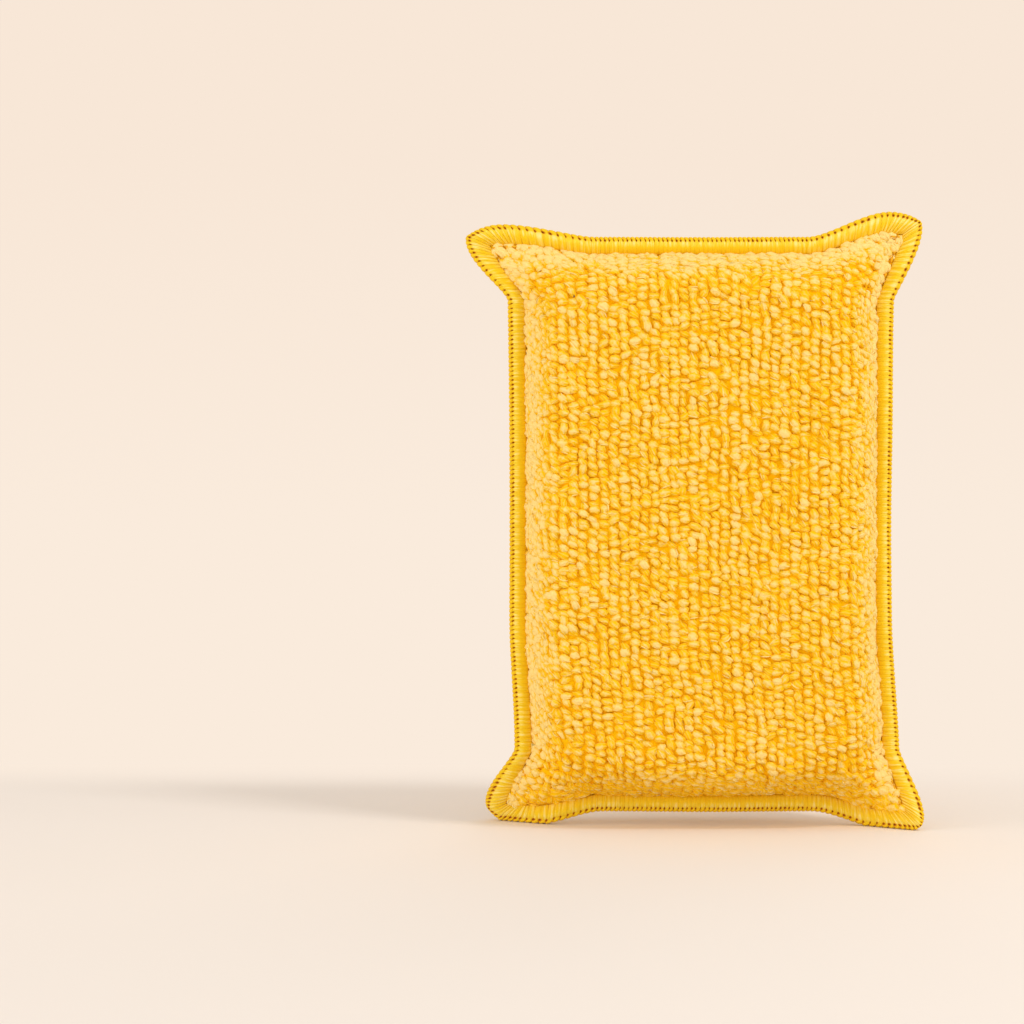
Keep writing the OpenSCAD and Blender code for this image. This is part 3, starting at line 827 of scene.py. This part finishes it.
def makeLint():
    material, tree, shader = newMaterial("lint")
    specks = noise(tree, objectPlace(tree), lint["speckScale"], 2.0)
    colour = colourRamp(tree, specks, [(0.3, lint["colour"]), (0.7, lint["lighter"])])
    tree.links.new(colour, shader.inputs["Base Color"])
    shader.inputs["Roughness"].default_value = lint["roughness"]
    rng = np.random.default_rng(lint["seed"])
    seed = cloth["seeds"]["front"]
    points = []
    for x, z in lint["places"]:
        x, z = np.array([x]), np.array([z])
        middle = coverPoint(x, z, -1, seed)[0] + coverNormal(x, z, -1, seed)[0] * lint["proud"]
        heading = unit(np.array([1.0, 0.0, rng.normal(0, lint["tilt"])]))
        other = np.cross(heading, [0.0, 1.0, 0.0])
        for r in range(lint["rings"]):
            t = r / (lint["rings"] - 1)
            centre = middle + heading * (t - 0.5) * lint["size"] * lint["longer"]
            centre = centre + other * rng.normal(0, lint["bend"])
            size = lint["size"] / 2 * (0.25 + 0.75 * np.sin(np.pi * t)) * rng.uniform(lint["least"], lint["most"])
            for phi in roundTube(lint["sides"]):
                rise = np.array([0, size * lint["flatter"] * np.sin(phi), 0])
                points.append(centre + other * size * np.cos(phi) + rise)
    faces = tubeFaces(len(lint["places"]), lint["rings"], lint["sides"])[:, [0, 3, 2, 1]]
    makePiece("lint_flecks", np.array(points), faces, {}, material)


makeLint()

# The foam inside: pale yellow with open cells, painted darker at the cell centres as painted shade in the pores
foam = {
    "colour": paint(247, 226, 150), "cell": paint(222, 190, 96), "cellAt": 0.2, "colourAt": 0.7,
    "cellScale": 1400.0, "cells": 1.2, "patchScale": 300.0, "patches": 0.3,
    "bumpDepth": 0.0004, "bump": 0.8, "roughness": 0.95,
}


def finishFoam():
    material, tree, shader = newMaterial("open_cell_foam")
    where = objectPlace(tree)
    cells = addNode(tree, "TexVoronoi", {"Vector": where, "Scale": foam["cellScale"]}).outputs["Distance"]
    patches = noise(tree, where, foam["patchScale"], 4.0)
    mixed = addShare(tree, calc(tree, "MULTIPLY", cells, foam["cells"]), patches, foam["patches"])
    colour = colourRamp(tree, mixed, [(foam["cellAt"], foam["cell"]), (foam["colourAt"], foam["colour"])])
    applyFinish(tree, shader, colour, cells, foam)
    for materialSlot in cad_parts["foam_core"].material_slots:
        materialSlot.material = material


finishFoam()

# Floor and backdrop in one pale sweep, far enough away to walk round the sponge
backdrop = {
    "wallLow": paint(250, 235, 220), "wallHigh": paint(248, 231, 215), "floor": paint(240, 230, 221),
    "roughness": 0.95, "specular": 0.1, "start": 1900.0, "bend": 400.0, "bendSteps": 12, "reach": 3000.0,
    "gradeFrom": 0.0, "gradeTo": 330.0, "behindFrom": 60.0, "behindTo": 125.0,
    "roundFrom": 300.0, "roundTo": 600.0,
}


def seenDirectly(tree):
    light = addNode(tree, "LightPath")
    mirrored = calc(tree, "MAXIMUM", light.outputs["Is Glossy Ray"], light.outputs["Is Transmission Ray"])
    return calc(tree, "MAXIMUM", light.outputs["Is Camera Ray"], mirrored)


def softRange(tree, value, fromKey, toKey):
    limits = {0: value, 1: backdrop[fromKey] * mm, 2: backdrop[toKey] * mm}
    return addNode(tree, "MapRange", limits, interpolation_type="SMOOTHSTEP").outputs[0]


def makeSweep():
    reach, bend, start = backdrop["reach"], backdrop["bend"], backdrop["start"]
    profile = [(-reach, 0.0), (0.0, 0.0), (start, 0.0)]
    for k in range(1, backdrop["bendSteps"] + 1):
        angle = np.pi / 2 * k / backdrop["bendSteps"]
        profile.append((start + bend * np.sin(angle), bend * (1 - np.cos(angle))))
    profile.append((start + bend, reach))
    points, faces = [], []
    for y, z in profile:
        points += [(-reach * mm, y * mm, z * mm), (reach * mm, y * mm, z * mm)]
    for k in range(len(profile) - 1):
        faces.append([2 * k, 2 * k + 1, 2 * k + 3, 2 * k + 2])
    mesh = bpy.data.meshes.new("sweep")
    mesh.from_pydata(points, [], faces)
    mesh.polygons.foreach_set("use_smooth", np.ones(len(faces), bool))
    material, tree, shader = newMaterial("sweep_paper")
    shader.inputs["Base Color"].default_value = backdrop["floor"]
    shader.inputs["Roughness"].default_value = backdrop["roughness"]
    shader.inputs["Specular IOR Level"].default_value = backdrop["specular"]
    # Behind the sponge and far away from it the paper shows as an even wall
    spot = addNode(tree, "NewGeometry").outputs["Position"]
    place = addNode(tree, "SeparateXYZ", {0: spot})
    distance = addNode(tree, "VectorMath", {0: spot}, operation="LENGTH").outputs["Value"]
    behind = softRange(tree, place.outputs[1], "behindFrom", "behindTo")
    around = softRange(tree, distance, "roundFrom", "roundTo")
    onWall = calc(tree, "MULTIPLY", calc(tree, "MAXIMUM", behind, around), seenDirectly(tree))
    rise = mapRange(tree, place.outputs[2], backdrop["gradeFrom"] * mm, backdrop["gradeTo"] * mm)
    wallColour = colourRamp(tree, rise, [(0.0, backdrop["wallLow"]), (1.0, backdrop["wallHigh"])])
    glow = addNode(tree, "Emission", {"Color": wallColour, "Strength": 1.0})
    mixed = addNode(tree, "MixShader", {0: onWall, 1: shader.outputs[0], 2: glow.outputs[0]})
    tree.links.new(mixed.outputs[0], tree.nodes["Material Output"].inputs["Surface"])
    mesh.materials.append(material)
    sweep = bpy.data.objects.new("sweep", mesh)
    scene.collection.objects.link(sweep)


makeSweep()

# Soft studio light: the key from the upper right, broad fills from the front, the sides and behind
lighting = {
    "aimAt": (0.0, 0.0, 0.065),
    "lamps": {
        "key": {"at": (0.5, -0.42, 0.82), "size": 0.22, "power": 2.7},
        "front": {"at": (-0.3, -1.2, 0.04), "size": 0.9, "power": 3.8},
        "left": {"at": (-1.1, -0.4, 0.35), "size": 0.7, "power": 3.9},
        "right": {"at": (1.1, -0.4, 0.3), "size": 0.7, "power": 2.25},
        "behind": {"at": (0.3, 1.15, 0.6), "size": 0.8, "power": 2.4},
    },
    "world": (1.0, 0.97, 0.92, 1.0), "worldStrength": 0.705,
}


def makeLights():
    for name, settings in lighting["lamps"].items():
        data = bpy.data.lights.new(name, "AREA")
        data.energy = settings["power"]
        data.size = settings["size"]
        lamp = bpy.data.objects.new(name, data)
        lamp.location = settings["at"]
        lamp.rotation_euler = (Vector(lighting["aimAt"]) - lamp.location).to_track_quat("-Z", "Y").to_euler()
        scene.collection.objects.link(lamp)
    world = bpy.data.worlds.new("studio")
    world.use_nodes = True
    tree = world.node_tree
    light = tree.nodes["Background"]
    light.inputs["Color"].default_value = lighting["world"]
    light.inputs["Strength"].default_value = lighting["worldStrength"]
    wall = addNode(tree, "Background", {"Color": backdrop["wallHigh"], "Strength": 1.0})
    mixed = addNode(tree, "MixShader", {0: seenDirectly(tree), 1: light.outputs[0], 2: wall.outputs[0]})
    tree.links.new(mixed.outputs[0], tree.nodes["World Output"].inputs["Surface"])
    scene.world = world


makeLights()

# The camera stands where the photograph was taken from
view = {"distance": 700.0, "pitch": 1.6, "x": -40.27, "aim": 69.0, "across": 225.28, "sensor": 36.0}


def makeCamera():
    data = bpy.data.cameras.new("camera")
    data.sensor_width = view["sensor"]
    data.lens = view["sensor"] * view["distance"] / view["across"]
    camera = bpy.data.objects.new("camera", data)
    pitch = np.radians(view["pitch"])
    camera.location = (view["x"] * mm, -view["distance"] * np.cos(pitch) * mm,
                       (view["aim"] + view["distance"] * np.sin(pitch)) * mm)
    camera.rotation_euler = (np.pi / 2 - pitch, 0.0, 0.0)
    scene.collection.objects.link(camera)
    scene.camera = camera


makeCamera()
print("lights and camera set")
